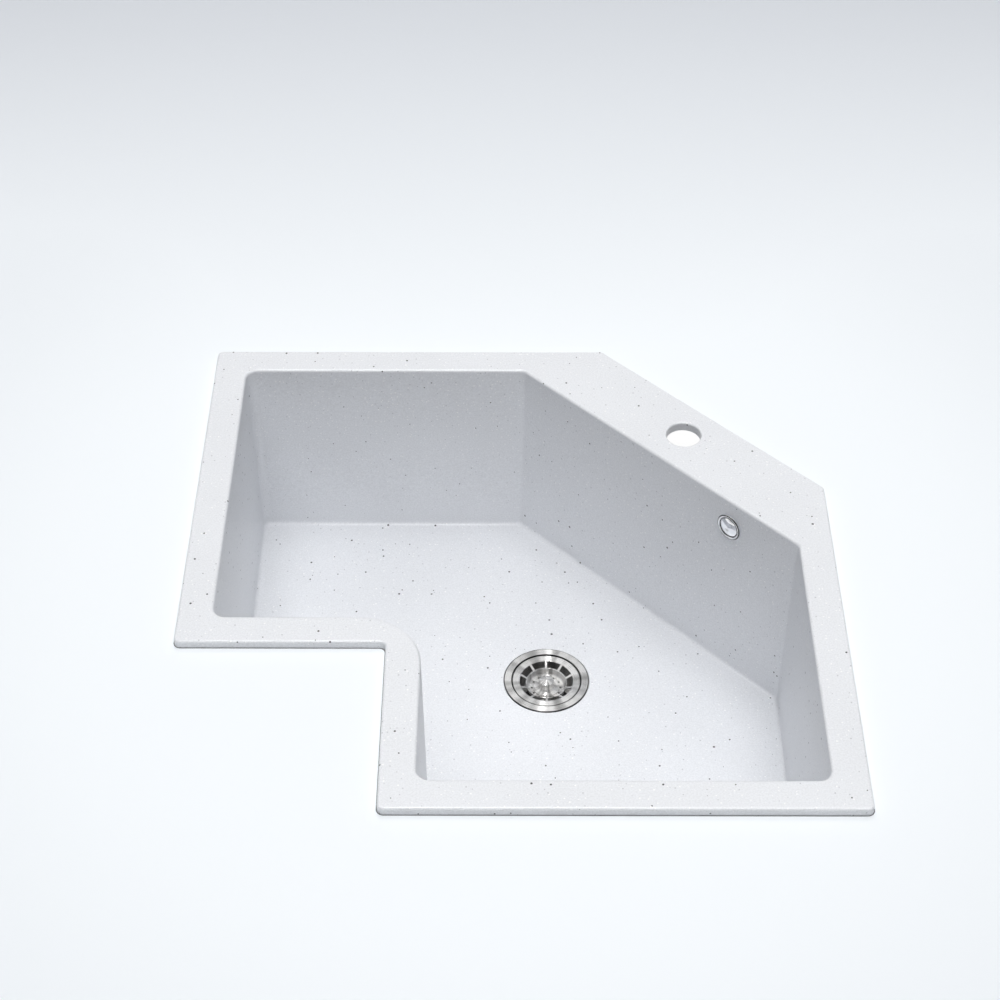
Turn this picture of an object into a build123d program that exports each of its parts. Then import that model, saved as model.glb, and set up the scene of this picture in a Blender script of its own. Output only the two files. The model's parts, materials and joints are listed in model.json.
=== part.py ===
from build123d import *
import os
from math import cos, radians, sin, sqrt, tan

# Corner kitchen sink: a moulded composite bowl for the corner of a worktop, with its basket strainer waste,
# its overflow and the clips that hold it down. Millimetres, +Z up. The origin is the centre of the tap hole,
# at the level of the rim's underside, which is the surface of the worktop.

os.makedirs("parts", exist_ok=True)

# ---- The bowl's plan ----
overall = 620.0  # side of the square that the rim fills
corner_cut = 213.0  # leg of the slanted side, at the back right corner
notch = 195.0  # side of the square left out at the front left corner
rim_width = 33.0  # flat of the rim on every side but the deck
deck_width = 82.0  # flat of the slanted side, which carries the tap
outer_corner = 6.0
notch_outer_corner = 5.0
bowl_corner = 12.0
bowl_deck_corner = 7.0
bowl_notch_corner = 58.0

# ---- The bowl's section ----
rim_height = 8.0  # rim above the worktop
bowl_depth = 218.0  # rim's top to the floor
wall = 9.0
floor_thickness = 10.0
draft = 0.7  # degrees
rim_edge = 2.5
bowl_edge = 3.0
floor_edge = 4.0
underside_edge = 9.0
root_edge = 3.0  # where the outer wall meets the rim's underside

# ---- The tap deck ----
tap_bore = 35.0
tap_setback = 39.0  # tap hole's centre to the rim's outer edge
tap_edge = 2.0
tap_pad = 62.0  # thickened round for the tap's clamp
tap_pad_depth = 1.5
rib_thickness = 5.0
rib_depth = 14.0

# ---- The sealing strip in the rim's underside ----
strip_inset = 3.0
strip_width = 4.0
strip_depth = 2.0

# ---- Clips ----
worktop = 30.0  # thickness that the clips are set to
clip_inset = 17.0  # screw's axis to the rim's outer edge
clip_spread = 160.0  # between the two clips of the deck
boss_width = 11.0
boss_depth = 16.0
boss_tail = 8.0  # how far a boss reaches back into the wall
insert_diameter = 7.6
insert_length = 12.0
clip_screw_diameter = 5.0
clip_head_flats = 8.0
clip_head_height = 3.5
clip_screw_end = 4.0  # below the rim's underside
arm_width = 12.0
arm_thickness = 2.5
arm_reach = 21.0  # screw's axis to the tip
arm_grip = 9.0  # length of the tip that lies against the worktop
arm_heel = 6.0  # screw's axis to the rounded end
arm_heel_turn = 5.5
arm_flat = 5.5  # screw's axis to the first bend
arm_rise = 5.0  # between the flat and the tip
arm_bend = 2.0

# ---- Strainer cup ----
waste_from_deck = 152.5  # waste's centre to the deck's wall, at the rim's top
flange_width = 7.8  # from the cup's mouth to the flange's edge
flange_thickness = 1.2
flange_rounding = 0.5
recess_depth = 2.0
recess_edge = 0.6
cup_seal_thickness = 1.5
cup_mouth = 72.4  # inside the step that the basket's rim sits in
cup_step = 2.0
cup_bore = 63.0
cup_depth = 33.0  # flange's top to the cup's bottom
cup_sheet = 1.2
cup_corner = 4.0
drain_slots = 8
drain_slot_width = 4.5
drain_slot_inner = 9.5
drain_slot_outer = 20.0

# ---- Basket ----
basket_rim = 70.8
basket_sheet = 0.9
basket_lip = 1.6  # height of the rim's rolled edge
basket_dish = 0.5  # fall of the rim towards the cone
basket_slope_outer = 57.2  # where the slotted cone starts
basket_slope_inner = 41.0
basket_slope_drop = 4.0
basket_floor_bore = 38.0
basket_depth = 11.0
basket_windows = 10
basket_rib = 2.4  # between two windows
basket_rib_phase = 18.0  # degrees, the first rib from the x axis
basket_ledge = 0.9  # of the cone left above and below the windows
basket_turn = 2.0
basket_bottom_turn = 2.5
floor_holes = 12
floor_hole_diameter = 2.4

# ---- Knob, post and stopper ----
knob_foot = 27.0
knob_foot_thickness = 1.2
knob_waist = 13.0
knob_head = 16.0
knob_proud = 1.2  # knob's top above the flange
knob_crown = 2.6  # height of the domed top
knob_edge = 0.8
post_diameter = 8.0
pin_diameter = 6.0
stopper_diameter = 47.0
stopper_hub = 30.0
stopper_thickness = 3.0
stopper_rim = 3.0  # width of the rim that seals
stopper_bevel = 1.0  # of the hollow under the hub
stopper_height = 7.8
stopper_lift = 8.0  # travel of the knob, until the stopper meets the collar
pin_end = 7.5  # below the screw head's top
ring_thickness = 0.8
ring_diameter = 11.0

# ---- Waste body ----
waste_boss = 108.0  # thickened round under the floor
waste_boss_depth = 3.0
waste_seal_thickness = 3.0
waste_seal_width = 10.0
body_flange = 100.0
body_flange_thickness = 4.0
body_bore = 69.0
body_wall = 3.5
body_depth = 34.0  # flange's top to the start of the cone
outlet_diameter = 47.8
outlet_bore = 40.0
outlet_length = 20.0
outlet_cone = 12.0
hub_diameter = 21.0
web_thickness = 3.0
webs = 4
web_phase = 20.0  # degrees, turns the webs away from the branch
waste_screw_diameter = 10.0
waste_screw_head = 15.0
waste_screw_head_height = 3.0
waste_screw_length = 22.0
waste_socket_depth = 9.0
nut_insert_diameter = 15.0
nut_insert_length = 14.0

# ---- Overflow ----
overflow_drop = 31.0  # rim's top to the overflow's centre
overflow_along = 102.0  # from the middle of the deck
overflow_hole = 22.0
cover_diameter = 28.8
cover_thickness = 3.2
cover_opening = 22.6
cover_crest = 0.4  # flat left on top of the ring
cap_diameter = 20.8
cap_skirt = 0.8
cap_rise = 3.4
cap_wall = 0.9
cover_spokes = 3
spoke_width = 2.5
cover_hub = 8.0
cover_hub_bore = 4.4
cover_hub_thickness = 1.6
overflow_screw_diameter = 4.0
overflow_screw_head = 7.4
overflow_screw_head_height = 2.0
overflow_screw_length = 24.0
overflow_seal_thickness = 3.0
overflow_seal_width = 7.0
elbow_flange = 38.0
elbow_flange_thickness = 3.0
elbow_body = 30.0
elbow_wall = 2.8
elbow_depth = 34.0  # wall to the elbow's back
elbow_axis = 20.0  # wall to the pipe's axis
elbow_drop = 36.0  # overflow's centre to the spigot's mouth
elbow_edge = 3.0
elbow_boss = 8.0
elbow_boss_gap = 2.0  # the boss stops short of the seal's face

# ---- Overflow pipe and its nuts ----
pipe_diameter = 20.0
pipe_wall = 1.6
pipe_bend = 40.0
pipe_entry = 16.0  # length of pipe inside each spigot
spigot_wall = 2.7
branch_reach = 58.0  # waste's axis to the branch's mouth
branch_drop = 37.0  # floor to the branch's axis
nut_length = 15.0
nut_wall = 3.0
nut_lobes = 8
pipe_seal_length = 4.0

# ---- Clearances ----
flange_play = 0.6  # cup's flange in its recess, radial
waste_hole_play = 0.9  # cup in the floor's hole, radial
cup_seal_play = 1.0  # flange's seal round the cup, radial
screw_play = 0.08  # screws in their threads, radial
running_play = 0.08  # turning and sliding fits, radial
moulded_play = 0.05  # inserts in their holes, radial
socket_play = 0.4  # pin in the screw's socket, radial
seat_gap = 0.3  # between a soft piece and a moving one
pipe_play = 0.3  # pipe in its spigots, radial
hub_play = 0.3  # centre screw in the hub, radial
strip_play = 0.1
cup_gap = 0.5  # cup's bottom to the waste body's hub
same_size = 0.001  # two radii this near are one

# ---- Places worked out from the sizes ----
diagonal = sqrt(2)
tap_reach = overall - corner_cut / 2 - tap_setback / diagonal
low_side = -tap_reach
high_side = overall - tap_reach
inner_side = low_side + notch
floor_z = rim_height - bowl_depth
across = Vector(1, 1, 0) / diagonal  # from the bowl out over the deck
along = Vector(1, -1, 0) / diagonal  # along the deck, towards the right


def corners(side_inset, deck_inset):
    """Corners of the rim's plan moved inwards, clockwise from the back left one."""
    low = low_side + side_inset
    high = high_side - side_inset
    inner = inner_side + side_inset
    cut = (tap_setback - deck_inset) * diagonal - high
    return [(low, high), (cut, high), (high, cut), (high, low), (inner, low), (inner, inner), (low, inner)]


def plan(height, side_inset, deck_inset, corner, deck_corner, notch_corner):
    """The sink's plan at a height, with a radius for each kind of corner."""
    radii = [corner, deck_corner, deck_corner, corner, corner, notch_corner, corner]
    with BuildSketch(Plane.XY.offset(height)) as shape:
        with BuildLine():
            FilletPolyline(*corners(side_inset, deck_inset), radius=radii, close=True)
        make_face()
    return shape.sketch


def bowl_plan(height, thickness):
    """The bowl's opening, or its outer wall when a thickness is given."""
    return plan(
        height,
        rim_width - thickness,
        deck_width - thickness,
        bowl_corner + thickness,
        bowl_deck_corner + thickness,
        bowl_notch_corner - thickness,
    )


def rim_plan(height, inset):
    """The rim's outline moved inwards."""
    corner = max(outer_corner - inset, strip_play)
    return plan(height, inset, inset, corner, corner, notch_outer_corner + inset)


def side_view(base):
    """A plane through the base's axis: its x is the radius, its y the height along the axis."""
    return Plane(base.origin, x_dir=base.x_dir, z_dir=-base.y_dir)


def axis_of(base):
    return Axis(base.origin, base.z_dir)


def washer(base, outer, inner, low, high):
    """A flat ring between two heights on a base plane, given by its diameters."""
    with BuildPart() as flat_ring:
        with BuildSketch(base.offset(low)):
            Circle(outer / 2)
            Circle(inner / 2, mode=Mode.SUBTRACT)
        extrude(amount=high - low)
    return flat_ring.part


def strip_plan(play):
    """The sealing strip's groove, or the strip when a play is given."""
    with BuildSketch(Plane.XY) as band:
        add(rim_plan(0, strip_inset + play))
        add(rim_plan(0, strip_inset + strip_width - play), mode=Mode.SUBTRACT)
    return band.sketch


def round_edges(piece, diameter):
    """A piece's full circles of one diameter."""
    circles = piece.edges().filter_by(GeomType.CIRCLE)
    return circles.filter_by(lambda edge: abs(edge.radius - diameter / 2) < same_size)


def write(piece, name):
    """Labels a finished piece and writes its file."""
    piece.part.label = name
    export_step(piece.part, f"parts/{name}.step")


# ---- Places of the fittings ----
wall_slope = tan(radians(draft))
waste_x = (tap_setback - deck_width - waste_from_deck) / diagonal
waste = Plane((waste_x, waste_x, floor_z), x_dir=(1, 0, 0), z_dir=(0, 0, 1))

overflow_across = tap_setback - deck_width - overflow_drop * wall_slope
overflow_z = rim_height - overflow_drop
overflow_centre = across * overflow_across + along * overflow_along + Vector(0, 0, overflow_z)
overflow_normal = across * -cos(radians(draft)) + Vector(0, 0, sin(radians(draft)))
overflow = Plane(overflow_centre, x_dir=along, z_dir=overflow_normal)  # on the wall, facing into the bowl


def clip_places():
    """The clips' axes: the middle of each side, and two on the deck. Each plane's x points outwards."""
    points = corners(clip_inset, clip_inset)
    outward = [90, 45, 0, -90, 180, -90, 180]
    places = []
    for index, angle in enumerate(outward):
        start = Vector(*points[index])
        end = Vector(*points[(index + 1) % len(points)])
        run = (end - start).normalized()
        shifts = [-clip_spread / 2, clip_spread / 2] if angle == 45 else [0]
        for shift in shifts:
            spot = (start + end) / 2 + run * shift
            facing = Vector(cos(radians(angle)), sin(radians(angle)), 0)
            places.append(Plane((spot.X, spot.Y, 0), x_dir=facing, z_dir=(0, 0, 1)))
    return places


clips = clip_places()
deck_clips = clips[1:3]

# ---- Sink bowl ----
flange_diameter = cup_mouth + 2 * flange_width
recess_diameter = flange_diameter + 2 * flange_play
waste_hole = cup_mouth + 2 * (cup_sheet + waste_hole_play)

with BuildPart() as bowl_space:
    extrude(bowl_plan(rim_height, 0), amount=-bowl_depth, taper=draft)
    fillet(bowl_space.faces().sort_by(Axis.Z)[0].edges(), floor_edge)

with BuildPart() as sink_bowl:
    # The bowl's outer wall hangs from the rim.
    extrude(bowl_plan(rim_height, wall), amount=-(bowl_depth + floor_thickness), taper=draft)
    fillet(sink_bowl.faces().sort_by(Axis.Z)[0].edges(), underside_edge)
    extrude(rim_plan(0, 0), amount=rim_height)
    fillet(sink_bowl.faces().sort_by(Axis.Z)[-1].edges(), rim_edge)
    ledge = sink_bowl.faces().filter_by(Plane.XY).sort_by(Axis.Z)[-2]
    fillet(ledge.inner_wires()[0].edges(), root_edge)
    # Thickened round for the tap, and the ribs from the deck's clips to the wall.
    with BuildSketch(Plane.XY):
        Circle(tap_pad / 2)
    extrude(amount=-tap_pad_depth)
    rib_run = deck_width - clip_inset - wall / 2
    for place in deck_clips:
        with BuildSketch(place):
            with Locations((-rib_run / 2, 0)):
                Rectangle(rib_run, rib_thickness)
        extrude(amount=-rib_depth)
    # Bosses for the clips' screws.
    for place in clips:
        with BuildSketch(place):
            Circle(boss_width / 2)
            with Locations((-boss_tail / 2, 0)):
                Rectangle(boss_tail, boss_width)
        extrude(amount=-boss_depth)
    # Thickened round that the waste's seal presses on.
    with BuildSketch(waste.offset(-floor_thickness)):
        Circle(waste_boss / 2)
    extrude(amount=-waste_boss_depth)
    # The bowl, with the rounded edge of its opening.
    add(bowl_space.part, mode=Mode.SUBTRACT)
    fillet(sink_bowl.faces().sort_by(Axis.Z)[-1].inner_wires()[0].edges(), bowl_edge)
    # Tap hole.
    with BuildSketch(Plane.XY.offset(rim_height)):
        Circle(tap_bore / 2)
    extrude(amount=-(rim_height + tap_pad_depth), mode=Mode.SUBTRACT)
    fillet(round_edges(sink_bowl, tap_bore).sort_by(Axis.Z)[-1], tap_edge)
    # Waste hole and the recess for its flange.
    with BuildSketch(waste):
        Circle(recess_diameter / 2)
    extrude(amount=-recess_depth, mode=Mode.SUBTRACT)
    fillet(round_edges(sink_bowl, recess_diameter).sort_by(Axis.Z)[-1], recess_edge)
    with BuildSketch(waste):
        Circle(waste_hole / 2)
    extrude(amount=-(floor_thickness + waste_boss_depth), mode=Mode.SUBTRACT)
    # Overflow hole.
    with BuildSketch(overflow.offset(-2 * wall)):
        Circle(overflow_hole / 2)
    extrude(amount=3 * wall, mode=Mode.SUBTRACT)
    # Blind holes for the clips' inserts.
    for place in clips:
        with BuildSketch(place.offset(-boss_depth)):
            Circle(insert_diameter / 2)
        extrude(amount=insert_length, mode=Mode.SUBTRACT)
    # Groove for the sealing strip.
    extrude(strip_plan(0), amount=strip_depth, mode=Mode.SUBTRACT)
write(sink_bowl, "sink_bowl")

with BuildPart() as rim_strip:
    extrude(strip_plan(strip_play), amount=strip_depth)
write(rim_strip, "rim_strip")

# ---- Clips ----
# A swinging arm on a screw: turned out it grips the worktop from below, turned in it lies along the bowl's wall.
arm_top = -worktop - arm_rise
with BuildPart() as clip_inserts:
    for place in clips:
        add(washer(
            place,
            insert_diameter - 2 * moulded_play,
            clip_screw_diameter + 2 * screw_play,
            -boss_depth,
            insert_length - boss_depth,
        ))
write(clip_inserts, "clip_inserts")

with BuildPart() as clip_screws:
    for place in clips:
        with BuildSketch(place.offset(arm_top - arm_thickness)):
            Circle(clip_screw_diameter / 2)
        extrude(amount=-clip_screw_end - arm_top + arm_thickness)
        with BuildSketch(place.offset(arm_top - arm_thickness)):
            RegularPolygon(clip_head_flats / 2, 6, major_radius=False)
        extrude(amount=-clip_head_height)
write(clip_screws, "clip_screws")

for number, place in enumerate(clips, start=1):
    with BuildPart() as clip_arm:
        with BuildSketch(side_view(place)):
            with BuildLine():
                FilletPolyline(
                    (-arm_heel, arm_top),
                    (arm_flat, arm_top),
                    (arm_reach - arm_grip, -worktop),
                    (arm_reach, -worktop),
                    radius=arm_bend,
                )
                offset(amount=arm_thickness, side=Side.RIGHT, closed=True)
            make_face()
        extrude(amount=arm_width / 2, both=True)
        upright = clip_arm.edges().filter_by(Axis.Z)
        outwards = Axis(place.origin, place.x_dir)
        fillet(upright.sort_by(outwards)[:2], arm_heel_turn)
        fillet(upright.sort_by(outwards)[-2:], arm_bend)
        with BuildSketch(place.offset(arm_top - arm_thickness)):
            Circle(clip_screw_diameter / 2 + running_play)
        extrude(amount=arm_thickness, mode=Mode.SUBTRACT)
    write(clip_arm, f"clip_arm_{number}")

# ---- Waste: strainer cup and its seals ----
# Heights here are measured from the bowl's floor.
flange_low = cup_seal_thickness - recess_depth
flange_top = flange_low + flange_thickness
step_top = flange_top - cup_step
cup_bottom = flange_top - cup_depth
cup_under = cup_bottom - cup_sheet
cup_radius = cup_bore / 2
mouth_radius = cup_mouth / 2
screw_hole = waste_screw_diameter / 2 + screw_play

with BuildPart() as strainer_cup:
    with BuildSketch(side_view(waste)):
        with BuildLine():
            FilletPolyline(
                (flange_diameter / 2, flange_low),
                (flange_diameter / 2, flange_top),
                (mouth_radius, flange_top),
                (mouth_radius, step_top),
                (cup_radius, step_top),
                (cup_radius, cup_bottom),
                (screw_hole, cup_bottom),
                (screw_hole, cup_under),
                (cup_radius + cup_sheet, cup_under),
                (cup_radius + cup_sheet, step_top - cup_sheet),
                (mouth_radius + cup_sheet, step_top - cup_sheet),
                (mouth_radius + cup_sheet, flange_low),
                radius=[
                    0, flange_rounding, flange_rounding, 0, flange_rounding, cup_corner,
                    0, 0, cup_corner + cup_sheet, 0, flange_rounding, 0,
                ],
                close=True,
            )
        make_face()
    revolve(axis=axis_of(waste))
    with BuildSketch(waste.offset(cup_under)):
        with PolarLocations((drain_slot_outer + drain_slot_inner) / 2, drain_slots):
            SlotOverall(drain_slot_outer - drain_slot_inner, drain_slot_width)
    extrude(amount=cup_sheet, mode=Mode.SUBTRACT)
write(strainer_cup, "strainer_cup")

with BuildPart() as cup_seal:
    seal_outer = flange_diameter - 2 * flange_rounding
    seal_inner = cup_mouth + 2 * (cup_sheet + cup_seal_play)
    add(washer(waste, seal_outer, seal_inner, -recess_depth, flange_low))
write(cup_seal, "cup_seal")

# ---- Waste body under the floor ----
seal_top = -floor_thickness - waste_boss_depth
body_top = seal_top - waste_seal_thickness
cone_top = body_top - body_depth
cone_end = cone_top - outlet_cone
outlet_end = cone_end - outlet_length
hub_top = cup_under - cup_gap
pipe_hole = pipe_diameter + 2 * pipe_play
spigot_diameter = pipe_hole + 2 * spigot_wall

with BuildPart() as waste_seal:
    add(washer(waste, body_flange, body_flange - 2 * waste_seal_width, body_top, seal_top))
write(waste_seal, "waste_seal")

# The overflow pipe's axis comes down behind the deck's wall and then runs level to the waste.
pipe_top_point = overflow_centre + across * (wall + elbow_axis)
waste_point = Vector(waste_x, waste_x, 0)
branch_run = Vector(pipe_top_point.X, pipe_top_point.Y, 0) - waste_point
branch_facing = branch_run.normalized()
branch = Plane(
    waste_point + Vector(0, 0, floor_z - branch_drop) + branch_facing * branch_reach,
    x_dir=(0, 0, 1),
    z_dir=branch_facing,
)
spigot = Plane(
    (pipe_top_point.X, pipe_top_point.Y, overflow_z - elbow_drop),
    x_dir=along,
    z_dir=(0, 0, -1),
)

with BuildPart() as waste_body:
    outlet_radius = outlet_diameter / 2
    with BuildSketch(side_view(waste)):
        with BuildLine():
            Polyline(
                (body_bore / 2, body_top),
                (body_flange / 2, body_top),
                (body_flange / 2, body_top - body_flange_thickness),
                (body_bore / 2 + body_wall, body_top - body_flange_thickness),
                (body_bore / 2 + body_wall, cone_top),
                (outlet_radius, cone_end),
                (outlet_radius, outlet_end),
                (outlet_bore / 2, outlet_end),
                (outlet_bore / 2, cone_end),
                (body_bore / 2, cone_top),
                close=True,
            )
        make_face()
    revolve(axis=axis_of(waste))
    # Hub on its webs, for the centre screw.
    with BuildSketch(waste.offset(cone_top)):
        Circle(hub_diameter / 2)
        with PolarLocations(0, webs, start_angle=web_phase):
            with Locations((body_bore / 4, 0)):
                Rectangle(body_bore / 2 + body_wall, web_thickness)
    extrude(amount=hub_top - cone_top)
    with BuildSketch(waste.offset(cone_top)):
        Circle(waste_screw_diameter / 2 + hub_play)
    extrude(amount=hub_top - cone_top, mode=Mode.SUBTRACT)
    with BuildSketch(waste.offset(cone_top)):
        Circle(nut_insert_diameter / 2)
    extrude(amount=nut_insert_length, mode=Mode.SUBTRACT)
    # Branch for the overflow pipe.
    branch_length = branch_reach - body_bore / 2
    with BuildSketch(branch):
        Circle(spigot_diameter / 2)
    extrude(amount=-branch_length)
    with BuildSketch(branch):
        Circle(pipe_hole / 2)
    extrude(amount=-branch_length - body_wall, mode=Mode.SUBTRACT)
write(waste_body, "waste_body")

with BuildPart() as screw_insert:
    insert_outer = nut_insert_diameter - 2 * moulded_play
    add(washer(waste, insert_outer, 2 * screw_hole, cone_top, cone_top + nut_insert_length))
write(screw_insert, "screw_insert")

screw_head_top = cup_bottom + waste_screw_head_height
with BuildPart() as waste_screw:
    with BuildSketch(waste.offset(cup_bottom)):
        Circle(waste_screw_head / 2)
    extrude(amount=waste_screw_head_height)
    fillet(round_edges(waste_screw, waste_screw_head).sort_by(Axis.Z)[-1], flange_rounding)
    with BuildSketch(waste.offset(cup_bottom)):
        Circle(waste_screw_diameter / 2)
    extrude(amount=-waste_screw_length)
    with BuildSketch(waste.offset(screw_head_top)):
        Circle(pin_diameter / 2 + socket_play)
    extrude(amount=-waste_socket_depth, mode=Mode.SUBTRACT)
write(waste_screw, "waste_screw")

# ---- Basket ----
basket_floor = -basket_depth
lip_top = step_top + basket_lip
cone_top_height = lip_top - basket_dish
post_hole = post_diameter / 2 + running_play
stopper_low = cup_bottom + seat_gap
stopper_top = stopper_low + stopper_height
collar_end = stopper_top + stopper_lift + seat_gap

with BuildPart() as basket:
    with BuildSketch(side_view(waste)):
        with BuildLine():
            FilletPolyline(
                (basket_rim / 2, step_top),
                (basket_rim / 2, lip_top),
                (basket_slope_outer / 2, cone_top_height),
                (basket_slope_inner / 2, cone_top_height - basket_slope_drop),
                (basket_floor_bore / 2, basket_floor),
                (post_hole, basket_floor),
                (post_hole, collar_end),
                radius=[
                    basket_sheet + flange_rounding, basket_turn, basket_turn,
                    basket_bottom_turn, basket_sheet + flange_rounding,
                ],
            )
            offset(amount=basket_sheet, side=Side.LEFT, closed=True)
        make_face()
    revolve(axis=axis_of(waste))
    with BuildSketch(waste.offset(basket_floor)):
        Circle(basket_slope_outer / 2 - basket_ledge)
        Circle(basket_slope_inner / 2 + basket_ledge, mode=Mode.SUBTRACT)
        with PolarLocations(0, basket_windows, start_angle=basket_rib_phase):
            with Locations((basket_rim / 4, 0)):
                Rectangle(basket_rim / 2, basket_rib, mode=Mode.SUBTRACT)
    extrude(amount=basket_depth + lip_top, mode=Mode.SUBTRACT)
    with BuildSketch(waste.offset(basket_floor)):
        with PolarLocations((knob_foot + basket_floor_bore - 2 * basket_bottom_turn) / 4, floor_holes):
            Circle(floor_hole_diameter / 2)
    extrude(amount=-basket_sheet, mode=Mode.SUBTRACT)
write(basket, "basket")

# ---- Knob with its post, stopper and retaining ring ----
knob_top = flange_top + knob_proud
crown_low = knob_top - knob_crown
foot_top = basket_floor + knob_foot_thickness
knob_dome = ((knob_head / 2) ** 2 + knob_crown**2) / (2 * knob_crown)
pin_low = screw_head_top - pin_end
ring_top = stopper_top - stopper_thickness

with BuildPart() as knob:
    with BuildSketch(side_view(waste)):
        with BuildLine():
            RadiusArc((0, knob_top), (knob_head / 2, crown_low), knob_dome)
            ThreePointArc(
                (knob_head / 2, crown_low),
                (knob_waist / 2, (crown_low + foot_top) / 2),
                (knob_foot / 2, foot_top),
            )
            Polyline(
                (knob_foot / 2, foot_top),
                (knob_foot / 2, basket_floor),
                (post_diameter / 2, basket_floor),
                (post_diameter / 2, stopper_top),
                (pin_diameter / 2, stopper_top),
                (pin_diameter / 2, pin_low),
                (0, pin_low),
                (0, knob_top),
            )
        make_face()
    revolve(axis=axis_of(waste))
    fillet(round_edges(knob, knob_head), knob_edge)
write(knob, "knob")

with BuildPart() as stopper:
    pin_hole = pin_diameter / 2 + moulded_play
    with BuildSketch(side_view(waste)):
        with BuildLine():
            Polyline(
                (pin_hole, stopper_top),
                (stopper_hub / 2, stopper_top),
                (stopper_diameter / 2, stopper_low + stopper_thickness / 2),
                (stopper_diameter / 2, stopper_low),
                (stopper_diameter / 2 - stopper_rim, stopper_low),
                (stopper_hub / 2 - stopper_bevel, ring_top),
                (pin_hole, ring_top),
                close=True,
            )
        make_face()
    revolve(axis=axis_of(waste))
write(stopper, "stopper")

with BuildPart() as stopper_ring:
    add(washer(waste, ring_diameter, 2 * pin_hole, ring_top - ring_thickness, ring_top))
    with BuildSketch(waste.offset(ring_top)):
        with Locations((ring_diameter / 2, 0)):
            Rectangle(ring_diameter, pin_diameter / 2)
    extrude(amount=-ring_thickness, mode=Mode.SUBTRACT)
write(stopper_ring, "stopper_ring")

# ---- Overflow ----
# Heights here are measured from the wall's face into the bowl.
elbow_face = -wall - overflow_seal_thickness
elbow_back = -wall - elbow_depth

with BuildPart() as overflow_cover:
    with BuildSketch(overflow):
        Circle(cover_diameter / 2)
        Circle(cover_opening / 2, mode=Mode.SUBTRACT)
    extrude(amount=cover_thickness)
    front = overflow_cover.faces().sort_by(axis_of(overflow))[-1]
    fillet(front.edges(), ((cover_diameter - cover_opening) / 2 - cover_crest) / 2)
    spoke_length = (cover_diameter + cover_opening) / 4
    with BuildSketch(overflow):
        Circle(cover_hub / 2)
        with PolarLocations(0, cover_spokes, start_angle=90):
            with Locations((spoke_length / 2, 0)):
                Rectangle(spoke_length, spoke_width)
        Circle(cover_hub_bore / 2, mode=Mode.SUBTRACT)
    extrude(amount=cover_hub_thickness)
write(overflow_cover, "overflow_cover")

with BuildPart() as overflow_cap:
    cap_radius = cap_diameter / 2
    cap_edge = cover_hub_thickness + cap_skirt
    cap_top = cap_edge + cap_rise
    cap_dome = (cap_radius**2 + cap_rise**2) / (2 * cap_rise)
    with BuildSketch(side_view(overflow)):
        with BuildLine():
            RadiusArc((0, cap_top), (cap_radius, cap_edge), cap_dome)
            Polyline(
                (cap_radius, cap_edge),
                (cap_radius, cover_hub_thickness),
                (cap_radius - cap_wall, cover_hub_thickness),
                (cap_radius - cap_wall, cap_edge),
                (cover_hub / 2, cap_top - cap_wall),
                (0, cap_top - cap_wall),
                (0, cap_top),
            )
        make_face()
    revolve(axis=axis_of(overflow))
write(overflow_cap, "overflow_cap")

with BuildPart() as overflow_screw:
    with BuildSketch(overflow.offset(cover_hub_thickness)):
        Circle(overflow_screw_head / 2)
    extrude(amount=overflow_screw_head_height)
    with BuildSketch(overflow.offset(cover_hub_thickness)):
        Circle(overflow_screw_diameter / 2)
    extrude(amount=-overflow_screw_length)
write(overflow_screw, "overflow_screw")

with BuildPart() as overflow_seal:
    add(washer(overflow, elbow_flange, elbow_flange - 2 * overflow_seal_width, elbow_face, -wall))
write(overflow_seal, "overflow_seal")

with BuildPart() as overflow_elbow:
    with BuildSketch(overflow.offset(elbow_face)):
        Circle(elbow_flange / 2)
    extrude(amount=-elbow_flange_thickness)
    with BuildSketch(overflow.offset(elbow_face)):
        Circle(elbow_body / 2)
    extrude(amount=elbow_back - elbow_face)
    fillet(round_edges(overflow_elbow, elbow_body).sort_by(axis_of(overflow))[0], elbow_edge)
    with BuildSketch(spigot):
        Circle(spigot_diameter / 2)
    extrude(amount=-elbow_drop)
    with BuildSketch(overflow.offset(elbow_face)):
        Circle(elbow_body / 2 - elbow_wall)
    extrude(amount=elbow_back - elbow_face + elbow_wall, mode=Mode.SUBTRACT)
    with BuildSketch(spigot):
        Circle(pipe_hole / 2)
    extrude(amount=-elbow_drop, mode=Mode.SUBTRACT)
    with BuildSketch(overflow.offset(elbow_back)):
        Circle(elbow_boss / 2)
    extrude(amount=elbow_face - elbow_back - elbow_boss_gap)
    with BuildSketch(overflow.offset(elbow_back + elbow_wall)):
        Circle(overflow_screw_diameter / 2 + screw_play)
    extrude(amount=elbow_face - elbow_back - elbow_wall, mode=Mode.SUBTRACT)
write(overflow_elbow, "overflow_elbow")

with BuildPart() as overflow_pipe:
    bend_point = Vector(spigot.origin.X, spigot.origin.Y, branch.origin.Z)
    with BuildLine() as pipe_route:
        FilletPolyline(
            spigot.origin + Vector(0, 0, pipe_entry),
            bend_point,
            branch.origin - branch_facing * pipe_entry,
            radius=pipe_bend,
        )
    with BuildSketch(Plane(spigot.origin + Vector(0, 0, pipe_entry), x_dir=along, z_dir=(0, 0, -1))):
        Circle(pipe_diameter / 2)
        Circle(pipe_diameter / 2 - pipe_wall, mode=Mode.SUBTRACT)
    sweep(path=pipe_route.line)
write(overflow_pipe, "overflow_pipe")

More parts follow.
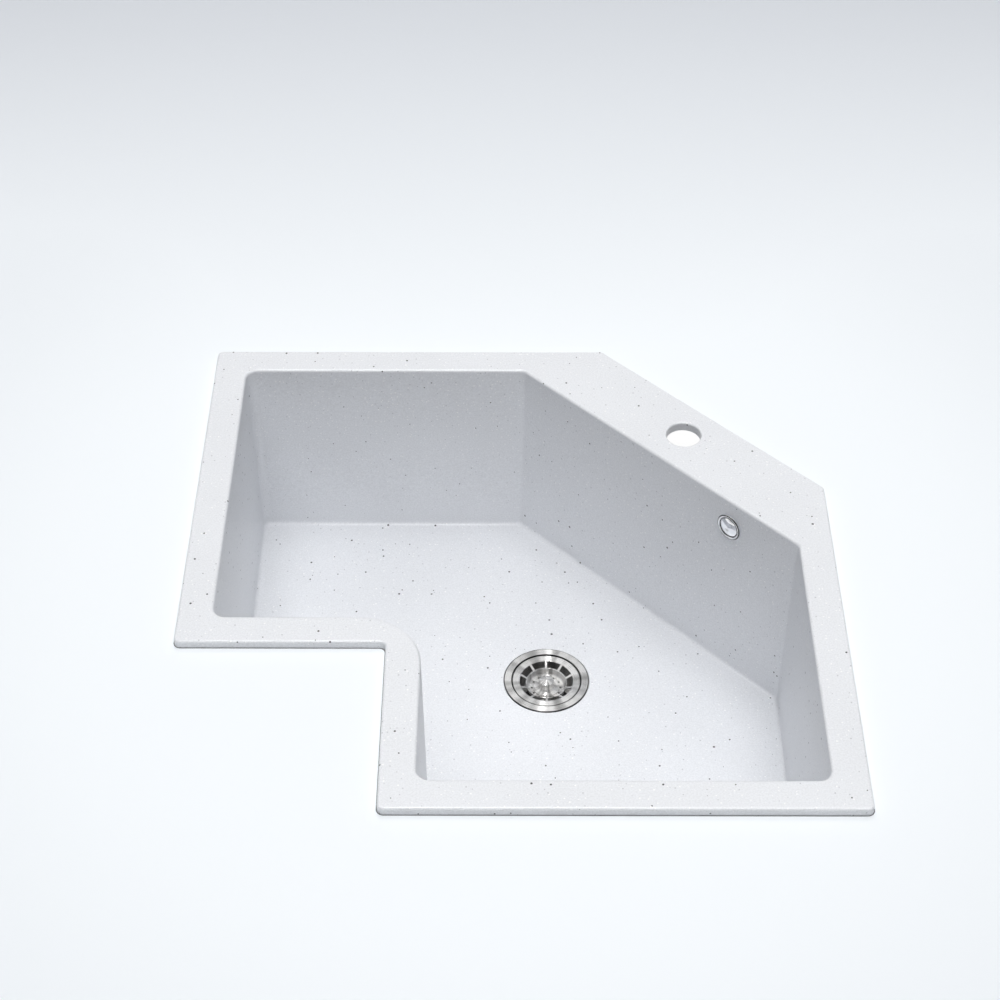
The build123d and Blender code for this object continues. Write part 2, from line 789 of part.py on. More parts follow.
for end, base in (("elbow", spigot), ("branch", branch)):
    with BuildPart() as pipe_seal:
        add(washer(base, spigot_diameter, pipe_diameter + 2 * moulded_play, 0, pipe_seal_length))
    write(pipe_seal, f"{end}_seal")
    with BuildPart() as pipe_nut:
        nut_end = pipe_seal_length + nut_wall
        nut_bore = spigot_diameter / 2 + screw_play
        with BuildSketch(base.offset(nut_end - nut_length)):
            Circle(nut_bore + nut_wall)
            with PolarLocations(nut_bore + nut_wall, nut_lobes):
                Circle(nut_wall / 2)
        extrude(amount=nut_length)
        with BuildSketch(base.offset(nut_end - nut_length)):
            Circle(nut_bore)
        extrude(amount=nut_length - nut_wall, mode=Mode.SUBTRACT)
        with BuildSketch(base):
            Circle(pipe_hole / 2)
        extrude(amount=nut_end, mode=Mode.SUBTRACT)
    write(pipe_nut, f"{end}_nut")
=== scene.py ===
import json
from math import pi, radians, sin, sqrt, tan

import bmesh
import bpy
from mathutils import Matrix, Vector


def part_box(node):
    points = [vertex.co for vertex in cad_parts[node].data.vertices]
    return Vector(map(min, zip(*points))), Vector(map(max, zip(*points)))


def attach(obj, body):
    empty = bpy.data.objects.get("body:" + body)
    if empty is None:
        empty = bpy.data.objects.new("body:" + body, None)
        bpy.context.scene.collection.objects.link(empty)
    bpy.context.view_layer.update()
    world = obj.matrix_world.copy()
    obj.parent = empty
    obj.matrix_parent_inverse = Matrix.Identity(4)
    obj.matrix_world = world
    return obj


# Corner kitchen sink in white stone composite, set in a worktop, with its basket strainer waste, overflow and
# clips. Metres, +Z up, the tap hole's centre at the origin and the worktop's surface at z = 0.
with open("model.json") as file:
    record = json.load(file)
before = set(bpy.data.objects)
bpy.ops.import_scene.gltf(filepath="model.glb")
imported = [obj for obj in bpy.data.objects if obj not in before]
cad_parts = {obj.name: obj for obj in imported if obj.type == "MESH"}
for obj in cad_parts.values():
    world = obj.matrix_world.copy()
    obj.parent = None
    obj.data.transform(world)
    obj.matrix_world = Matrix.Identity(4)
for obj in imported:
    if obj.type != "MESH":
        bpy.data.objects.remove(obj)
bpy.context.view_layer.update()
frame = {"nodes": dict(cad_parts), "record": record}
nodes = frame["nodes"]
scene = bpy.context.scene

# ---- Viewpoint ----
# A long lens looks down at the sink from the front, square to its straight sides. The place and the angle were
# solved from the seven corners of the rim's outline.
eye = Vector((-0.18263, -1.65243, 1.44382))
look_down = radians(42.74)
turned_left = radians(0.14)
lens_mm = 77.54
sensor_mm = 36.0

camera = bpy.data.objects.new("camera", bpy.data.cameras.new("camera"))
camera.data.lens = lens_mm
camera.data.sensor_width = sensor_mm
camera.location = eye
camera.rotation_euler = (pi / 2 - look_down, 0, turned_left)
scene.collection.objects.link(camera)
scene.camera = camera
scene.view_settings.view_transform = "Standard"

# ---- Worktop ----
# The pale surface that the sink is set in, cut out a little smaller than the rim, so that the rim lies on its
# edge, with a thin dark sheet of painted contact shadow along the rim's foot. Both have only their upper face:
# from below, the bowl and its fittings are open to view and to the light.
corner_cut = 0.213  # off the back right corner, for the tap deck
notch = 0.195  # out of the corner opposite
cutout_inset = 0.011
rim_corner = 0.006
corner_steps = 8
# Painted contact shadow: a thin dark sheet round the rim's foot, just outside and under the rim's edge.
shadow_line_width = 0.0008  # outside the rim
shadow_line_under = 0.002  # under the rim
shadow_line_lift = 0.0001
painted_shadow_colour = (0.16, 0.16, 0.165, 1)
worktop_reach = 7.0
# Painted shade: the worktop's colour darkens from the pale one to the far one further back, and a little all round
# away from the sink.
worktop_pale = (0.925, 0.960, 0.990, 1)
worktop_far_shade = (0.62, 0.645, 0.69, 1)
fade_span = (0.15, 1.05)  # how far back the pale colour starts to turn into the far one, and ends
dim_centre = (-0.18, -0.18, 0)
dim_span = (0.35, 0.75)  # the same all round this centre
dim_most = 0.25  # of the way to the far colour


def add_node(tree, kind, inputs=(), **settings):
    """A node with its own settings. An input is a value, or the output of another node."""
    made = tree.nodes.new(kind)
    for name, value in settings.items():
        setattr(made, name, value)
    for name, value in dict(inputs).items():
        if isinstance(value, bpy.types.NodeSocket):
            tree.links.new(value, made.inputs[name])
        else:
            made.inputs[name].default_value = value
    return made


def maths(tree, operation, *values):
    """The number that an operation makes of others."""
    return add_node(tree, "ShaderNodeMath", dict(enumerate(values)), operation=operation).outputs[0]


def vector_maths(tree, operation, *values):
    """The same for vectors: a length or a distance is a number, and anything else a vector."""
    made = add_node(tree, "ShaderNodeVectorMath", dict(enumerate(values)), operation=operation)
    return made.outputs["Value" if operation in ("LENGTH", "DISTANCE") else "Vector"]


def scaled(tree, vector, scale):
    inputs = {0: vector, "Scale": scale}
    return add_node(tree, "ShaderNodeVectorMath", inputs, operation="SCALE").outputs["Vector"]


def carried(tree, value, span, onto=(0.0, 1.0), smooth=False):
    """A value carried from one span onto another, and held at its ends."""
    ends = {"From Min": span[0], "From Max": span[1], "To Min": onto[0], "To Max": onto[1]}
    way = "SMOOTHSTEP" if smooth else "LINEAR"
    return add_node(tree, "ShaderNodeMapRange", {"Value": value, **ends}, interpolation_type=way).outputs[0]


def mixed_colour(tree, share, first, second):
    return add_node(tree, "ShaderNodeMix", {0: share, 6: first, 7: second}, data_type="RGBA").outputs[2]


def mixed_shader(tree, share, first, second):
    return add_node(tree, "ShaderNodeMixShader", {0: share, 1: first, 2: second}).outputs[0]


def new_material(name):
    """An empty material, with its tree and the surface input of its output."""
    made = bpy.data.materials.new(name)
    made.use_nodes = True
    made.node_tree.nodes.clear()
    out = made.node_tree.nodes.new("ShaderNodeOutputMaterial")
    return made, made.node_tree, out.inputs["Surface"]


def show_upper_face(tree, surface, colour):
    """A matt face from above, and from below nothing that can be seen or stops the light."""
    matt = add_node(tree, "ShaderNodeBsdfDiffuse", {"Color": colour}).outputs[0]
    clear = add_node(tree, "ShaderNodeBsdfTransparent").outputs[0]
    below = add_node(tree, "ShaderNodeNewGeometry").outputs["Backfacing"]
    tree.links.new(mixed_shader(tree, below, matt, clear), surface)


def rim_outline(inset):
    """The rim's seven corners moved inwards, clockwise from the back left one."""
    low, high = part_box("sink_bowl")
    left, right = low.x + inset, high.x - inset
    inner = low.x + notch + inset
    cut = high.x - corner_cut - inset * (sqrt(2) - 1)
    return [(left, right), (cut, right), (right, cut), (right, left), (inner, left), (inner, inner), (left, inner)]


def rounded_outline(inset):
    """The same with its corners turned to arcs, about as the rim's own."""
    corners = [Vector(corner) for corner in rim_outline(inset)]
    points = []
    for before, corner, after in zip(corners[-1:] + corners[:-1], corners, corners[1:] + corners[:1]):
        back, ahead = (before - corner).normalized(), (after - corner).normalized()
        radius = rim_corner - inset if back.cross(ahead) > 0 else rim_corner + inset
        half = back.angle(ahead) / 2
        start, end = corner + back * radius / tan(half), corner + ahead * radius / tan(half)
        for step in range(corner_steps + 1):
            share = step / corner_steps
            weights = (1 - share) ** 2, 2 * share * (1 - share) * sin(half), share ** 2
            points.append((start * weights[0] + corner * weights[1] + end * weights[2]) / sum(weights))
    return [tuple(point) for point in points]


def make_sheet(name, loops, height):
    """A flat sheet between two loops of corners."""
    sheet = bmesh.new()
    for loop in loops:
        corners = [sheet.verts.new((x, y, height)) for x, y in loop]
        for start, end in zip(corners, corners[1:] + corners[:1]):
            sheet.edges.new((start, end))
    bmesh.ops.triangle_fill(sheet, use_beauty=True, edges=sheet.edges[:], normal=(0, 0, 1))
    for face in sheet.faces:
        if face.normal.z < 0:
            face.normal_flip()
    mesh = bpy.data.meshes.new(name)
    sheet.to_mesh(mesh)
    sheet.free()
    made = bpy.data.objects.new(name, mesh)
    scene.collection.objects.link(made)
    return made


worktop_corners = [(-worktop_reach, -worktop_reach), (worktop_reach, -worktop_reach),
                   (worktop_reach, worktop_reach), (-worktop_reach, worktop_reach)]
worktop = make_sheet("worktop", [worktop_corners, rim_outline(cutout_inset)], 0)
worktop_finish, tree, surface = new_material("worktop")
# The worktop's colour carries painted shade, darker to the back and away from the sink.
spot = add_node(tree, "ShaderNodeTexCoord").outputs["Object"]
place = add_node(tree, "ShaderNodeSeparateXYZ", {0: spot})
fade = carried(tree, place.outputs["Y"], fade_span)
dim = carried(tree, vector_maths(tree, "DISTANCE", spot, dim_centre), dim_span, (0.0, dim_most), smooth=True)
share = maths(tree, "MAXIMUM", fade, dim)
show_upper_face(tree, surface, mixed_colour(tree, share, worktop_pale, worktop_far_shade))
worktop.data.materials.append(worktop_finish)
# The dark sheet round the rim's foot, named joint, is painted contact shadow.
joint = make_sheet("joint", [rounded_outline(-shadow_line_width), rounded_outline(shadow_line_under)], shadow_line_lift)
shadow_line_finish, tree, surface = new_material("joint")
show_upper_face(tree, surface, painted_shadow_colour)
joint.data.materials.append(shadow_line_finish)

# ---- Light ----
# Wide soft lamps over the sink, behind it, before it and under it, in a pale room. The metals mirror that room,
# darker to the front, and one small lamp, which draws a thin streak on what is brushed. One more wide lamp shows
# only in the stone's gloss, on its rounded edges.
room_level = 0.06
room_white = (1.0, 1.0, 1.0, 1)
mirrored_front = (0.22, 0.22, 0.23, 1)
front_span = (0.15, -0.55)  # of the direction's Y, from the pale back of the room to its dark front
height_span = (0.10, 0.45)  # of its Z, from the pale foot of the front to its dark
lamp_aim = Vector((-0.15, -0.15, -0.1))
stone_only = bpy.data.collections.new("stone_only")
stone_only.objects.link(nodes["sink_bowl"])
lamps = {
    # size in metres, power in watts, place, whether it lights matt surfaces, whether gloss shows it, and on what
    "under_front": (3.2, 60.0, (-2.40, -2.60, -2.40), True, False, None),
    "under_back": (3.2, 60.0, (2.20, 2.40, -2.40), True, False, None),
    "overhead": (3.2, 120.0, (-0.15, -0.15, 4.60), True, False, None),
    "back": (3.2, 67.0, (-0.20, 2.60, 3.80), True, False, None),
    "front": (3.2, 67.0, (-0.15, -2.90, 3.80), True, False, None),
    "streak": (0.08, 12.0, (-0.29, 0.20, 2.70), False, True, None),
    "edges": (3.2, 260.0, (-0.15, -0.15, 4.60), False, True, stone_only),
}

for name, (size, power, place, on_matt, in_gloss, only_on) in lamps.items():
    light = bpy.data.lights.new(name, "AREA")
    light.shape = "DISK"
    light.size = size
    light.energy = power
    made = bpy.data.objects.new(name, light)
    made.location = place
    made.rotation_euler = (lamp_aim - Vector(place)).to_track_quat("-Z", "Y").to_euler()
    made.visible_camera = False
    made.visible_diffuse = on_matt
    made.visible_glossy = in_gloss
    if only_on:
        made.light_linking.receiver_collection = only_on
    scene.collection.objects.link(made)

room = bpy.data.worlds.new("room")
room.use_nodes = True
scene.world = room
tree = room.node_tree
tree.nodes.clear()
path = add_node(tree, "ShaderNodeLightPath")
toward = add_node(tree, "ShaderNodeSeparateXYZ", {0: add_node(tree, "ShaderNodeTexCoord").outputs["Generated"]})
frontward = carried(tree, toward.outputs["Y"], front_span, smooth=True)
upward = carried(tree, toward.outputs["Z"], height_span, smooth=True)
mirrored = mixed_colour(tree, maths(tree, "MULTIPLY", frontward, upward), room_white, mirrored_front)
lights_up = add_node(tree, "ShaderNodeBackground", {"Color": room_white, "Strength": room_level}).outputs[0]
shows_up = add_node(tree, "ShaderNodeBackground", {"Color": room_white, "Strength": 1.0}).outputs[0]
mirrors = add_node(tree, "ShaderNodeBackground", {"Color": mirrored, "Strength": 1.0}).outputs[0]
seen = maths(tree, "MAXIMUM", path.outputs["Is Camera Ray"], path.outputs["Is Transmission Ray"])
either = mixed_shader(tree, seen, lights_up, shows_up)
either = mixed_shader(tree, path.outputs["Is Glossy Ray"], either, mirrors)
add_node(tree, "ShaderNodeOutputWorld", {"Surface": either})

# ---- Bowl ----
# White quartz composite, cast in one piece. Coloured grit shows as sparse dark, grey and bright specks, and the
# mould leaves a fine even grain on every face.
stone_white = (0.782, 0.797, 0.827, 1)
stone_roughness = (0.28, 0.38)
stone_ior = 1.5
cloud_scale = 9.0
cloud_tones = (0.985, 1.015)
grit_scale = 620.0
grit_tones = (0.94, 1.06)
grain_scale = 420.0
grain_strength = 0.35
grain_depth = 0.0004
noise_span = (0.3, 0.7)  # where nearly all of a noise lies
dark_grit = (0.035, 0.035, 0.04, 1)
grey_grit = (0.28, 0.28, 0.31, 1)
bright_grit = (1.00, 1.00, 1.00, 1)
speck_kinds = [
    # spacing, radius and softness in metres, share of the places that are filled, strength, colour
    (0.0120, 0.00105, 0.00015, 0.85, 0.95, dark_grit),
    (0.0062, 0.00085, 0.00030, 0.80, 0.42, grey_grit),
    (0.0046, 0.00082, 0.00025, 0.75, 0.75, bright_grit),
]
speck_sizes = (0.45, 1.25)  # least and most, times the radius
speck_shift = (0.31, 0.17, 0.53)  # from one kind's lattice to the next one's


def noise(tree, place, scale, detail, roughness=0.5):
    inputs = {"Vector": place, "Scale": scale, "Detail": detail, "Roughness": roughness}
    return add_node(tree, "ShaderNodeTexNoise", inputs).outputs["Fac"]


def new_group(name, kind, takes, gives):
    """An empty node group. Its inputs and outputs come as names with what they carry."""
    made = bpy.data.node_groups.new(name, kind)
    for in_out, sockets in (("INPUT", takes), ("OUTPUT", gives)):
        for socket, carries in sockets.items():
            made.interface.new_socket(socket, in_out=in_out, socket_type="NodeSocket" + carries)
    return made, made.nodes.new("NodeGroupInput").outputs, made.nodes.new("NodeGroupOutput").inputs


def speck_group():
    """Specks scattered through the stone: each place in a loose lattice holds one or none."""
    takes = {"Vector": "Vector", "Spacing": "Float", "Radius": "Float", "Softness": "Float", "Share": "Float"}
    made, given, result = new_group("specks", "ShaderNodeTree", takes, {"Mask": "Float"})
    scale = maths(made, "DIVIDE", 1.0, given["Spacing"])
    cells = add_node(made, "ShaderNodeTexVoronoi", {"Vector": given["Vector"], "Scale": scale}, feature="F1")
    away = maths(made, "MULTIPLY", cells.outputs["Distance"], given["Spacing"])
    chance = add_node(made, "ShaderNodeSeparateColor", {"Color": cells.outputs["Color"]})
    filled = maths(made, "LESS_THAN", chance.outputs[0], given["Share"])
    radius = maths(made, "MULTIPLY", given["Radius"], carried(made, chance.outputs[1], (0.0, 1.0), speck_sizes))
    edge = maths(made, "SUBTRACT", radius, given["Softness"])
    dot = carried(made, away, (edge, radius), (1.0, 0.0), smooth=True)
    made.links.new(maths(made, "MULTIPLY", dot, filled), result["Mask"])
    return made


def stone_material():
    made, tree, surface = new_material("stone")
    place = add_node(tree, "ShaderNodeTexCoord").outputs["Object"]
    cloud = carried(tree, noise(tree, place, cloud_scale, 3.0), noise_span, cloud_tones)
    grit = carried(tree, noise(tree, place, grit_scale, 2.0), noise_span, grit_tones)
    colour = scaled(tree, stone_white[:3], maths(tree, "MULTIPLY", cloud, grit))
    specks = speck_group()
    for index, (spacing, radius, softness, share, strength, tint) in enumerate(speck_kinds):
        shift = tuple(index * step for step in speck_shift)
        shifted = add_node(tree, "ShaderNodeMapping", {"Vector": place, "Location": shift})
        spot = add_node(tree, "ShaderNodeGroup", {
            "Vector": shifted.outputs[0], "Spacing": spacing, "Radius": radius, "Softness": softness,
            "Share": share}, node_tree=specks)
        colour = mixed_colour(tree, maths(tree, "MULTIPLY", spot.outputs["Mask"], strength), colour, tint)
    grain = noise(tree, place, grain_scale, 3.0, 0.6)
    raised = add_node(tree, "ShaderNodeBump", {"Height": grain, "Strength": grain_strength,
                                               "Distance": grain_depth})
    stone = add_node(tree, "ShaderNodeBsdfPrincipled", {
        "Base Color": colour, "Roughness": carried(tree, grain, noise_span, stone_roughness), "IOR": stone_ior,
        "Normal": raised.outputs[0]})
    tree.links.new(stone.outputs[0], surface)
    return made


def finish_nodes(material, *names):
    """Gives carried-over pieces their finish."""
    for name in names:
        nodes[name].data.materials.clear()
        nodes[name].data.materials.append(material)


finish_nodes(stone_material(), "sink_bowl")

# ---- Strainer ----
# Pressed stainless steel, brushed in circles round the waste's axis, so that it shines in streaks that run in and
# out from the centre. The knob and the screw are turned from bar and have the same marks.
steel_colour = (0.84, 0.83, 0.815, 1)
steel_haze = 0.86  # as a metal: the rest is the dull white of its fine scratches
steel_roughness = (0.25, 0.34)
brush_lines_per_metre = 2600.0
brush_length = 2.2
brush_span = (0.3, 0.65)
brush_tones = (0.90, 1.0)
brush_strength = 0.12
brush_depth = 0.0002
streak_strength = 1.0
streak_turn = 0.25  # of a full turn, from the marks to what they mirror
# Painted reflection: broad lighter and darker bands round the axis in the steel's colour stand in for the room
# that brushed metal mirrors.
band_scale = 2.6  # broad lighter and darker bands, as brushed metal mirrors a room
band_place = (3.0, 7.0, 0.0)
band_span = (0.36, 0.60)
painted_reflection_tones = (0.55, 1.12)
# Painted shade: a dark line in the seam round the basket's mouth and at the flange's edge, where shade falls.
seam_shade_width = 0.0006  # of the dark line that gathers in a seam and at the edge, to each side
seam_shade_fade = 1.5  # times the width, where the line has faded out
seam_shade_tone = 0.12
seam_gap = 0.0004  # from the basket's edge to the middle of its seam
cup_low, cup_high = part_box("strainer_cup")
waste_axis = (cup_low + cup_high) / 2
waste_axis.z = 0
mouth_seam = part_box("basket")[1].x - waste_axis.x + seam_gap
flange_edge = cup_high.x - waste_axis.x


def seam_shade_group():
    """Painted shade in a seam and at an edge, both of them circles round one axis."""
    takes = {"From Axis": "Vector", "Axis": "Vector", "Seam": "Float", "Edge": "Float", "Width": "Float"}
    made, given, result = new_group("seam_shade", "ShaderNodeTree", takes, {"Seam Shade": "Float"})
    across = vector_maths(made, "CROSS_PRODUCT", given["From Axis"], given["Axis"])
    radius = vector_maths(made, "LENGTH", across)
    to_seam = maths(made, "ABSOLUTE", maths(made, "SUBTRACT", radius, given["Seam"]))
    to_edge = maths(made, "ABSOLUTE", maths(made, "SUBTRACT", radius, given["Edge"]))
    near = maths(made, "MINIMUM", to_seam, to_edge)
    faded = maths(made, "MULTIPLY", given["Width"], seam_shade_fade)
    made.links.new(carried(made, near, (faded, given["Width"])), result["Seam Shade"])
    return made


seam_shade = seam_shade_group()


def seam_shaded_tone(tree, from_axis, axis, seam, edge, width):
    """The share of a metal's colour that its painted seam shade leaves."""
    seam_shade_mask = add_node(tree, "ShaderNodeGroup", {
        "From Axis": from_axis, "Axis": axis, "Seam": seam, "Edge": edge, "Width": width}, node_tree=seam_shade)
    return carried(tree, seam_shade_mask.outputs["Seam Shade"], (0.0, 1.0), (1.0, seam_shade_tone))


def brushed_steel():
    """Steel with circular marks, painted reflection bands, and painted shade round the basket's mouth and at the
    flange's edge.
    """
    made, tree, surface = new_material("brushed_steel")
    place = add_node(tree, "ShaderNodeTexCoord").outputs["Object"]
    from_axis = vector_maths(tree, "SUBTRACT", place, tuple(waste_axis))
    level = vector_maths(tree, "MULTIPLY", from_axis, (1, 1, 0))
    facing = vector_maths(tree, "NORMALIZE", level)
    depth = maths(tree, "MULTIPLY", vector_maths(tree, "LENGTH", level), brush_lines_per_metre)
    height = add_node(tree, "ShaderNodeSeparateXYZ", {0: from_axis}).outputs["Z"]
    rise = maths(tree, "MULTIPLY", height, brush_lines_per_metre)
    lift = add_node(tree, "ShaderNodeCombineXYZ", {"Z": depth}).outputs[0]
    spot = vector_maths(tree, "ADD", scaled(tree, facing, brush_length), lift)
    lines = add_node(tree, "ShaderNodeTexNoise", {
        "Vector": spot, "W": rise, "Scale": 1.0, "Detail": 3.0, "Roughness": 0.6},
        noise_dimensions="4D").outputs["Fac"]
    # The bands are painted reflection in the steel's colour.
    shifted = add_node(tree, "ShaderNodeMapping", {"Vector": facing, "Location": band_place}).outputs[0]
    painted_reflection_bands = carried(tree, noise(tree, shifted, band_scale, 1.0), band_span, painted_reflection_tones)
    marked = maths(tree, "MULTIPLY", carried(tree, lines, brush_span, brush_tones), painted_reflection_bands)
    # Painted shade in the seam and at the flange's edge.
    seam_shading = seam_shaded_tone(tree, from_axis, (0, 0, 1), mouth_seam, flange_edge, seam_shade_width)
    shade = maths(tree, "MULTIPLY", marked, seam_shading)
    raised = add_node(tree, "ShaderNodeBump", {"Height": lines, "Strength": brush_strength,
                                               "Distance": brush_depth})
    around = vector_maths(tree, "CROSS_PRODUCT", (0, 0, 1), from_axis)
    metal = add_node(tree, "ShaderNodeBsdfPrincipled", {
        "Base Color": scaled(tree, steel_colour[:3], shade),
        "Roughness": carried(tree, lines, noise_span, steel_roughness), "Metallic": steel_haze,
        "Anisotropic": streak_strength, "Anisotropic Rotation": streak_turn, "Normal": raised.outputs[0],
        "Tangent": vector_maths(tree, "NORMALIZE", around)})
    tree.links.new(metal.outputs[0], surface)
    return made


finish_nodes(brushed_steel(), "strainer_cup", "basket", "knob", "waste_screw", "stopper_ring")

# ---- Overflow ----
# A polished chrome ring with a domed cap. Wiping has left the faintest haze on it, and a line of painted shade
# runs round each. The screw behind the cap is plain steel.
chrome_colour = (0.88, 0.89, 0.91, 1)
chrome_roughness = (0.03, 0.09)
chrome_tones = (0.97, 1.0)
screw_roughness = (0.22, 0.36)
plain_tones = (0.94, 1.04)
drift_scale = 60.0
haze_strength = 0.3
# Painted shade: dark lines round the ring's outer shoulder and between the cap and the ring.
cover_line = 0.0137  # radius of the line on the ring's outer shoulder
cap_line = 0.0109  # and of the one between the cap and the ring
cover_shade_width = 0.00045
cover_axis = (-sqrt(0.5), -sqrt(0.5), 0)  # into the bowl, square to the wall
cover_low, cover_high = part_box("overflow_cover")
cover_centre = (cover_low + cover_high) / 2


def haze_group():
    """A slow drift of tone and gloss, and a fine even grain."""
    takes = {"Vector": "Vector", "Grain Scale": "Float", "Least Tone": "Float", "Most Tone": "Float",
             "Least Roughness": "Float", "Most Roughness": "Float"}
    gives = {"Tone": "Float", "Roughness": "Float", "Grain": "Float"}
    made, given, result = new_group("haze", "ShaderNodeTree", takes, gives)
    drift = noise(made, given["Vector"], drift_scale, 4.0, 0.55)
    for name in ("Tone", "Roughness"):
        ends = given["Least " + name], given["Most " + name]
        made.links.new(carried(made, drift, noise_span, ends), result[name])
    made.links.new(noise(made, given["Vector"], given["Grain Scale"], 2.0), result["Grain"])
    return made


haze = haze_group()


def hazed_material(name, colour, metallic, roughness, grain_scale, grain_depth, tones=plain_tones, shade_circles=None):
    """A surface under that haze. Roughness and tones are the least and the most.

    The last argument gives the centre and axis of the painted shade lines, the radii of their seam and edge, and
    the width."""
    made, tree, surface = new_material(name)
    place = add_node(tree, "ShaderNodeTexCoord").outputs["Object"]
    hazed = add_node(tree, "ShaderNodeGroup", {
        "Vector": place, "Grain Scale": grain_scale, "Least Tone": tones[0], "Most Tone": tones[1],
        "Least Roughness": roughness[0], "Most Roughness": roughness[1]}, node_tree=haze).outputs
    tone = hazed["Tone"]
    if shade_circles:
        centre, *circles = shade_circles
        from_axis = vector_maths(tree, "SUBTRACT", place, tuple(centre))
        tone = maths(tree, "MULTIPLY", tone, seam_shaded_tone(tree, from_axis, *circles))
    raised = add_node(tree, "ShaderNodeBump", {"Height": hazed["Grain"], "Strength": haze_strength,
                                               "Distance": grain_depth})
    skin = add_node(tree, "ShaderNodeBsdfPrincipled", {
        "Base Color": scaled(tree, colour[:3], tone), "Roughness": hazed["Roughness"],
        "Metallic": metallic, "Normal": raised.outputs[0]})
    tree.links.new(skin.outputs[0], surface)
    return made


chrome = hazed_material("chrome", chrome_colour, 1.0, chrome_roughness, 900.0, 0.00001, chrome_tones,
                        (cover_centre, cover_axis, cap_line, cover_line, cover_shade_width))
finish_nodes(chrome, "overflow_cover", "overflow_cap")
finish_nodes(hazed_material("steel", steel_colour, 1.0, screw_roughness, 1500.0, 0.00004), "overflow_screw")

# ---- Fittings under the bowl ----
# Satin white plastic pipework with grey nuts, black rubber seals, zinc-plated clips, brass inserts and a strip of
# closed-cell foam under the rim.
finishes = {
    # colour, how metallic, roughness, grain's scale and depth in metres, tones, and the pieces that have it
    "white_plastic": ((0.78, 0.785, 0.77), 0.0, (0.34, 0.48), 1800.0, 0.00006, (0.97, 1.02),
                      ["waste_body", "overflow_elbow", "overflow_pipe"]),
    "grey_plastic": ((0.33, 0.34, 0.36), 0.0, (0.38, 0.52), 1600.0, 0.00008, plain_tones,
                     ["elbow_nut", "branch_nut"]),
    "rubber": ((0.022, 0.022, 0.024), 0.0, (0.50, 0.72), 1300.0, 0.0001, (0.8, 1.35),
               ["cup_seal", "waste_seal", "overflow_seal", "elbow_seal", "branch_seal", "stopper"]),
    "foam": ((0.13, 0.13, 0.14), 0.0, (0.80, 0.95), 1100.0, 0.0005, (0.75, 1.3), ["rim_strip"]),
    "zinc": ((0.62, 0.635, 0.66), 1.0, (0.26, 0.44), 1400.0, 0.00006, (0.86, 1.06),
             ["clip_screws"] + [name for name in nodes if name.startswith("clip_arm_")]),
    "brass": ((0.78, 0.58, 0.27), 1.0, (0.22, 0.38), 1400.0, 0.00005, (0.88, 1.05),
              ["clip_inserts", "screw_insert"]),
}
made_of = {}
for name, (*look, pieces) in finishes.items():
    made_of[name] = hazed_material(name, *look)
    finish_nodes(made_of[name], *pieces)

# ---- Threads ----
# The screw threads that show below: on the eight clip screws, between the bowl and their clips, and on the outlet,
# where a trap's nut goes. Each is a ridge wound round the plain shank that CAD made.
screw_radius = 0.0025
screw_pitch = 0.0008
screw_ridge = 0.0003
screw_length = 0.019
screw_ring = 24  # points in one turn
outlet_radius = 0.0239
outlet_pitch = 0.002309
outlet_ridge = 0.0009
outlet_length = 0.017
outlet_chamfer = 0.0015
outlet_ring = 96
flank = 0.42  # half the ridge's width as a share of the pitch


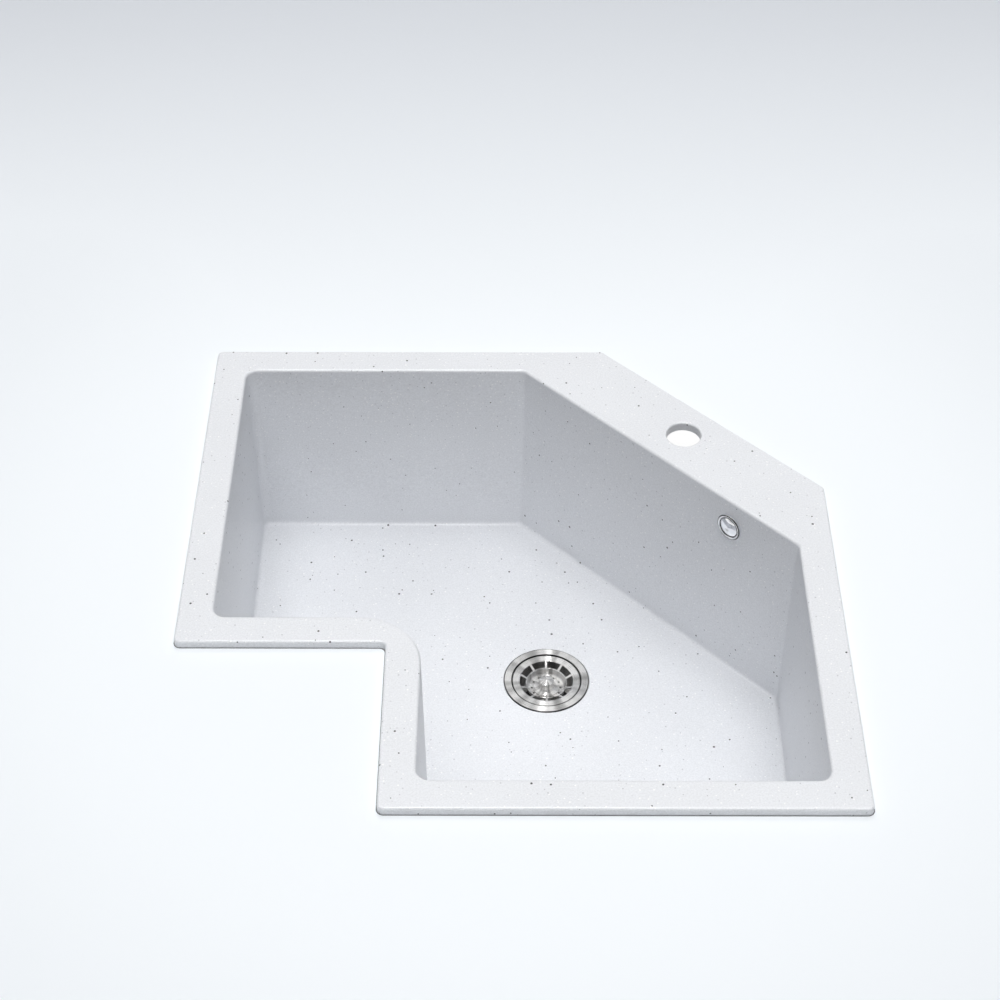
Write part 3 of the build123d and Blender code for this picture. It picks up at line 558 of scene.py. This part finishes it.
def thread_group():
    """A ridge wound upwards round the vertical, one at each point that comes in."""
    made, given, result = new_group("thread", "GeometryNodeTree", {
        "Geometry": "Geometry", "Radius": "Float", "Pitch": "Float", "Length": "Float", "Depth": "Float",
        "Points in a Turn": "Int", "Material": "Material"}, {"Geometry": "Geometry"})
    turns = maths(made, "DIVIDE", given["Length"], given["Pitch"])
    half_width = maths(made, "MULTIPLY", given["Pitch"], flank)
    wound = add_node(made, "GeometryNodeCurveSpiral", {
        "Resolution": given["Points in a Turn"], "Rotations": turns, "Start Radius": given["Radius"],
        "End Radius": given["Radius"], "Height": given["Length"]})
    upright = add_node(made, "GeometryNodeSetCurveNormal", {"Curve": wound.outputs[0]}, mode="Z_UP")
    diamond = add_node(made, "GeometryNodeCurvePrimitiveCircle", {"Resolution": 4, "Radius": 1.0})
    section = add_node(made, "ShaderNodeCombineXYZ", {"X": given["Depth"], "Y": half_width, "Z": 1.0})
    ridge = add_node(made, "GeometryNodeTransform", {"Geometry": diamond.outputs[0],
                                                     "Scale": section.outputs[0]})
    solid = add_node(made, "GeometryNodeCurveToMesh", {
        "Curve": upright.outputs[0], "Profile Curve": ridge.outputs[0], "Fill Caps": True})
    each = add_node(made, "GeometryNodeInstanceOnPoints", {"Points": given["Geometry"],
                                                           "Instance": solid.outputs[0]})
    real = add_node(made, "GeometryNodeRealizeInstances", {"Geometry": each.outputs[0]})
    dressed = add_node(made, "GeometryNodeSetMaterial", {"Geometry": real.outputs[0],
                                                         "Material": given["Material"]})
    made.links.new(dressed.outputs[0], result["Geometry"])
    return made


threads = thread_group()


def wind_thread(name, places, sizes):
    """A mesh of ridges, one from each place upwards, made by the thread tree and then set free of it."""
    feet = bpy.data.meshes.new(name + "_feet")
    feet.from_pydata(places, [], [])
    pattern = bpy.data.objects.new(name + "_pattern", feet)
    scene.collection.objects.link(pattern)
    winding = pattern.modifiers.new("thread", "NODES")
    winding.node_group = threads
    for item in threads.interface.items_tree:
        if item.in_out == "INPUT" and item.name in sizes:
            winding[item.identifier] = sizes[item.name]
    ready = pattern.evaluated_get(bpy.context.evaluated_depsgraph_get())
    mesh = bpy.data.meshes.new_from_object(ready)
    pattern.modifiers.remove(winding)
    bpy.data.objects.remove(pattern)
    solid = bmesh.new()
    solid.from_mesh(mesh)
    bmesh.ops.recalc_face_normals(solid, faces=solid.faces[:])
    solid.to_mesh(mesh)
    solid.free()
    made = bpy.data.objects.new(name, mesh)
    scene.collection.objects.link(made)
    return made


screw_feet = [joint["pos_m"] for joint in frame["record"]["behaviour"]["joints"] if joint["type"] == "hinge"]
outlet_foot = (waste_axis.x, waste_axis.y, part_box("waste_body")[0].z + outlet_chamfer)
clip_threads = wind_thread("clip_threads", screw_feet, {
    "Radius": screw_radius, "Pitch": screw_pitch, "Length": screw_length, "Depth": screw_ridge,
    "Points in a Turn": screw_ring, "Material": made_of["zinc"]})
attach(clip_threads, "sink")
outlet_thread = wind_thread("outlet_thread", [outlet_foot], {
    "Radius": outlet_radius, "Pitch": outlet_pitch, "Length": outlet_length, "Depth": outlet_ridge,
    "Points in a Turn": outlet_ring, "Material": made_of["white_plastic"]})
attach(outlet_thread, "sink")
